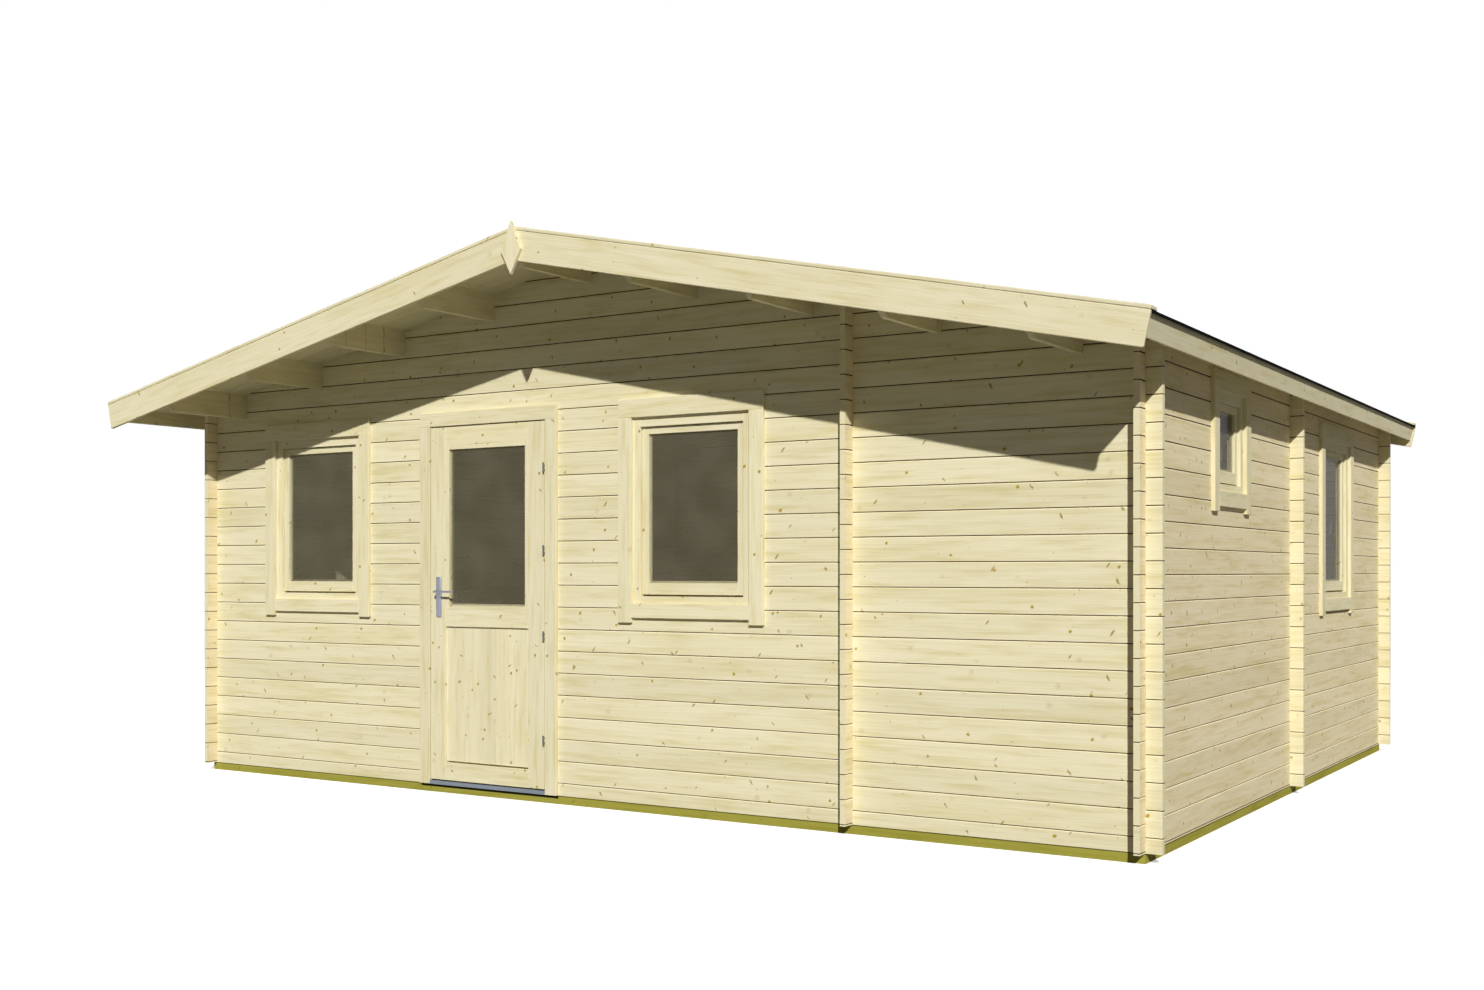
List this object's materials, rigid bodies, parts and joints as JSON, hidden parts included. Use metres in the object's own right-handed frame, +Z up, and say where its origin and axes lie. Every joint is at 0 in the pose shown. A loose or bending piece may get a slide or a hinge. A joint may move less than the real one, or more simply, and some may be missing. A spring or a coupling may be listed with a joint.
{
  "type": "log cabin",
  "caption": "Single-storey log cabin with notched log walls, low gable roof on purlins, half-glazed hinged entrance door, casement windows and two log partitions",
  "frame": {"origin": "On the ground, under the middle of the whole outline", "axes": "+X to the right along the front, +Y from the front to the back, +Z up"},
  "size_m": [6.231, 5.621, 2.8859],
  "materials": {
    "spruce_logs": "planed, untreated",
    "spruce_boards": "planed, untreated",
    "spruce_joinery": "planed, untreated",
    "treated_timber": "pressure treated",
    "roofing_felt": "matt mineral",
    "glass": "clear",
    "threshold_metal": "mill",
    "fittings_metal": "satin"
  },
  "bodies": {
    "cabin": {"front_wall_left": "spruce_logs", "front_wall_right": "spruce_logs", "front_gable": "spruce_logs", "back_wall": "spruce_logs", "left_wall": "spruce_logs", "right_wall": "spruce_logs", "long_partition_front": "spruce_logs", "long_partition_middle": "spruce_logs", "long_partition_back": "spruce_logs", "long_partition_head": "spruce_logs", "cross_partition": "spruce_logs", "purlins": "spruce_boards", "roof_boards_left": "spruce_boards", "roof_boards_right": "spruce_boards", "front_bargeboard_left": "spruce_boards", "front_bargeboard_right": "spruce_boards", "back_bargeboard_left": "spruce_boards", "back_bargeboard_right": "spruce_boards", "bargeboard_cover_strips": "spruce_boards", "ridge_finials": "spruce_boards", "left_eave_fascia": "spruce_boards", "right_eave_fascia": "spruce_boards", "door_frame": "spruce_joinery", "door_stops": "spruce_joinery", "door_casing": "spruce_joinery", "front_left_window_casing": "spruce_joinery", "front_left_window_frame": "spruce_joinery", "front_left_window_sash": "spruce_joinery", "front_right_window_casing": "spruce_joinery", "front_right_window_frame": "spruce_joinery", "front_right_window_sash": "spruce_joinery", "right_tall_window_casing": "spruce_joinery", "right_tall_window_frame": "spruce_joinery", "right_tall_window_sash": "spruce_joinery", "right_small_window_casing": "spruce_joinery", "right_small_window_frame": "spruce_joinery", "right_small_window_sash": "spruce_joinery", "floor_boards": "spruce_boards", "foundation_beams": "treated_timber", "roof_felt": "roofing_felt", "window_glass": "glass", "door_threshold": "threshold_metal", "frame_hinge_knuckles": "fittings_metal"},
    "door": {"door_leaf": "spruce_joinery", "door_panel": "spruce_joinery", "door_glass": "glass", "door_handle_plates": "fittings_metal", "leaf_hinge_knuckles": "fittings_metal"},
    "lever": {"door_lever": "fittings_metal"}
  },
  "joints": [
    {"name": "door_swing", "type": "hinge", "parent": "cabin", "child": "door", "pos_m": [-0.2805, -2.2305, 1], "axis": [0, 0, 1], "range_deg": [0, 110]},
    {"name": "lever_turn", "type": "hinge", "parent": "door", "child": "lever", "pos_m": [-1.024, -2.1985, 1.096], "axis": [0, 1, 0], "range_deg": [0, 40], "stiffness_Nm_per_rad": 1.5, "springref_deg": -28.65}
  ]
}
